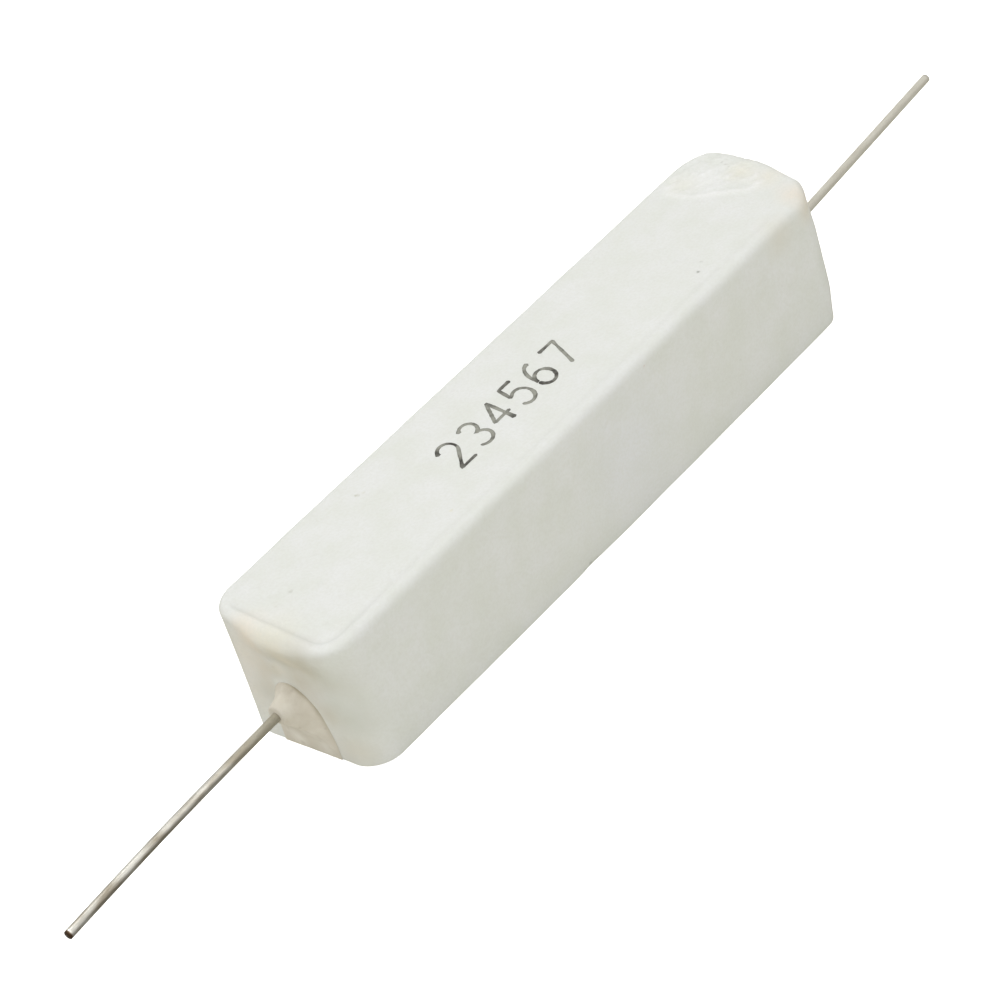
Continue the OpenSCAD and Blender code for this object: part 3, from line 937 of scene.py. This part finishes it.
def wire_material():
    """Drawn wire with a tin coat: bright at the near end, dull and oxidised at the far end, with
    darker bare patches drawn out along it and fine lengthwise lines. The near lead is soiled brown
    where it leaves the cement, and has a dark burr at its tip."""
    material, _, add, feed = new_material("tinned_wire")
    place = add("ShaderNodeTexCoord").outputs["Object"]
    drawn = add("ShaderNodeMapping", values={"Scale": (0.06, 1, 1)}, links={"Vector": place})
    lines = add("ShaderNodeTexNoise", values={"Scale": 9000, "Detail": 3},
                links={"Vector": drawn.outputs["Vector"]})
    spread = add("ShaderNodeMapping", values={"Scale": (0.25, 1, 1)}, links={"Vector": place})
    patches = add("ShaderNodeTexNoise", values={"Scale": 1500, "Detail": 3},
                  links={"Vector": spread.outputs["Vector"]}).outputs["Fac"]
    along = add("ShaderNodeSeparateXYZ", links={"Vector": place}).outputs["X"]
    far = add("ShaderNodeMapRange", values={"From Min": -0.01, "From Max": 0.01},
              links={"Value": along}).outputs["Result"]
    bright = ramp(add, patches, (0.34, (0.46, 0.41, 0.32)), (0.56, (0.83, 0.81, 0.73)))
    dull = ramp(add, patches, (0.3, (0.55, 0.52, 0.44)), (0.7, (0.66, 0.64, 0.56)))
    coat = add("ShaderNodeMix", data_type="RGBA", links={0: far, 6: bright, 7: dull}).outputs[2]
    root = add("ShaderNodeMapRange", values={"From Min": -soil_end * MM, "From Max": -soil_full * MM},
               links={"Value": along})
    at_near = add("ShaderNodeMath", operation="LESS_THAN", values={1: 0.0}, links={0: along})
    soiled = add("ShaderNodeMath", operation="MULTIPLY",
                 links={0: root.outputs["Result"], 1: at_near.outputs[0]}).outputs[0]
    stained = paint_over(add, coat, soiled, (0.4, 0.37, 0.29))
    burr = add("ShaderNodeMapRange",
               values={"From Min": -burr_start * MM, "From Max": -burr_full * MM},
               links={"Value": along})
    feed("Base Color", paint_over(add, stained, burr.outputs["Result"], (0.16, 0.1, 0.06)))
    rough = plus_share(add, soiled, 0.3, between(add, far, 0.24, 0.55))
    feed("Roughness", plus_share(add, patches, 0.12, rough))
    feed("Metallic", plus_share(add, soiled, -0.6, between(add, far, 1.0, 0.2)))
    feed("Normal", relief(add, lines.outputs["Fac"], 0.3, 0.00002))
    return material


wire_metal = wire_material()
make_lead("lead_near_wire", "lead_near", -1, near_slope, near_reach, near_bow, near_shift)
make_lead("lead_far_wire", "lead_far", 1, far_slope, far_reach, far_bow, far_shift)

# Element inside the cement
# A plain ceramic rod wound with bare resistance wire, with a pressed and plated steel cap pushed on
# each end. They are the frame's own solids, hidden in the cement, with their own finishes.


def plain_material(name, dark, light, scale, stretch, roughness, metallic, depth):
    """A finish whose colour, roughness and fine relief follow one noise, stretched where drawn."""
    material, shader, add, feed = new_material(name)
    place = add("ShaderNodeTexCoord").outputs["Object"]
    drawn = add("ShaderNodeMapping", values={"Scale": stretch}, links={"Vector": place})
    noise = add("ShaderNodeTexNoise", values={"Scale": scale, "Detail": 4},
                links={"Vector": drawn.outputs["Vector"]}).outputs["Fac"]
    feed("Base Color", ramp(add, noise, (0.35, dark), (0.65, light)))
    feed("Roughness", between(add, noise, roughness - 0.1, roughness + 0.1))
    feed("Normal", relief(add, noise, 0.3, depth))
    shader.inputs["Metallic"].default_value = metallic
    return material


rod_ceramic = plain_material("core_ceramic", (0.72, 0.69, 0.62), (0.84, 0.81, 0.75), 1500,
                             (1, 1, 1), 0.65, 0, 0.00003)
wire_alloy = plain_material("resistance_alloy", (0.3, 0.28, 0.26), (0.5, 0.47, 0.43), 3000,
                            (1, 1, 1), 0.45, 1, 0.00001)
cap_steel = plain_material("cap_steel", (0.5, 0.5, 0.5), (0.66, 0.66, 0.65), 1200,
                           (0.2, 1, 1), 0.35, 1, 0.00001)
for node, finish in (("core_rod", rod_ceramic), ("resistance_wire", wire_alloy),
                     ("end_cap_near", cap_steel), ("end_cap_far", cap_steel)):
    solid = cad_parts[node]
    solid.data.materials.clear()
    solid.data.materials.append(finish)

# Floor, light and camera
# A plain white floor under large soft lights, and the photograph's own view of the part.
lamp_away = 0.7


def make_floor():
    """A wide flat square, just under the part: plain white for the camera, a warm pale grey as it
    lights the part, and dark where bright metal mirrors it."""
    reach, drop = 900.0, 0.02
    corners = np.array([[-1, -1, 0], [1, -1, 0], [1, 1, 0], [-1, 1, 0]]) * reach
    piece = make_mesh("floor", corners - [0, 0, drop], [[0, 1, 2, 3]])
    material, shader, add, feed = new_material("floor_white")
    ray = add("ShaderNodeLightPath")
    tone = add("ShaderNodeMix", data_type="RGBA",
               values={6: (0.84, 0.83, 0.76, 1), 7: (0.26, 0.255, 0.24, 1)},
               links={0: ray.outputs["Is Glossy Ray"]})
    feed("Base Color", tone.outputs[2])
    feed("Emission Strength", between(add, ray.outputs["Is Camera Ray"], 0.0, 0.95))
    shader.inputs["Emission Color"].default_value = (1, 1, 1, 1)
    shader.inputs["Roughness"].default_value = 1
    piece.data.materials.append(material)


def make_light(name, way, size, power, turn=0.0):
    """A soft box lamp_away metres from the part, the way given, that faces the part. Size is its two
    sides in metres, and turn its roll about its own axis in degrees."""
    data = bpy.data.lights.new(name, "AREA")
    data.shape = "RECTANGLE"
    data.size, data.size_y = size
    data.energy = power
    lamp = bpy.data.objects.new(name, data)
    facing = Vector(way).normalized()
    spin = Matrix.Rotation(np.radians(turn), 3, facing)
    lamp.matrix_world = Matrix.Translation(facing * lamp_away) @ (
        spin @ facing.to_track_quat("Z", "Y").to_matrix()).to_4x4()
    bpy.context.collection.objects.link(lamp)


make_floor()
make_light("key_light", (-0.15, 0.4, 0.89), (0.45, 0.45), 1.5)
make_light("fill_light", (-0.5, -0.42, 0.76), (0.6, 0.6), 1.25)
make_light("strip_light", (0.516, -0.28, 0.81), (0.3, 0.75), 0.75, -55)
world = bpy.data.worlds.new("studio")
bpy.context.scene.world = world
world.use_nodes = True
sky = world.node_tree.nodes["Background"]
sky.inputs["Color"].default_value = (1, 1, 1, 1)
sky_ray = world.node_tree.nodes.new("ShaderNodeLightPath")
sky_level = world.node_tree.nodes.new("ShaderNodeMapRange")
sky_level.inputs["To Min"].default_value = 0.5
sky_level.inputs["To Max"].default_value = 0.62
world.node_tree.links.new(sky_ray.outputs["Is Glossy Ray"], sky_level.inputs["Value"])
world.node_tree.links.new(sky_level.outputs["Result"], sky.inputs["Strength"])
bpy.context.scene.view_settings.view_transform = "Standard"

# The camera stands at this distance from its aim in mm, as the case's edges in the photograph say
azimuth, elevation, roll = np.radians([-39.62, 36.02, -18.15])
distance = 232.84
aim = Vector((-5.121, -0.788, 4.844)) * MM
back = Vector((np.sin(azimuth) * np.cos(elevation), -np.cos(azimuth) * np.cos(elevation),
               np.sin(elevation)))
right = Vector((0, 0, 1)).cross(back).normalized()
upright = Matrix((right, back.cross(right), back)).transposed()
lens = bpy.data.cameras.new("photo_camera")
lens.sensor_width = 36
lens.lens = 137.36
lens.clip_start = 0.01
camera = bpy.data.objects.new("photo_camera", lens)
camera.matrix_world = Matrix.Translation(aim + back * distance * MM) @ (
    Matrix.Rotation(roll, 3, back) @ upright).to_4x4()
bpy.context.collection.objects.link(camera)
bpy.context.scene.camera = camera
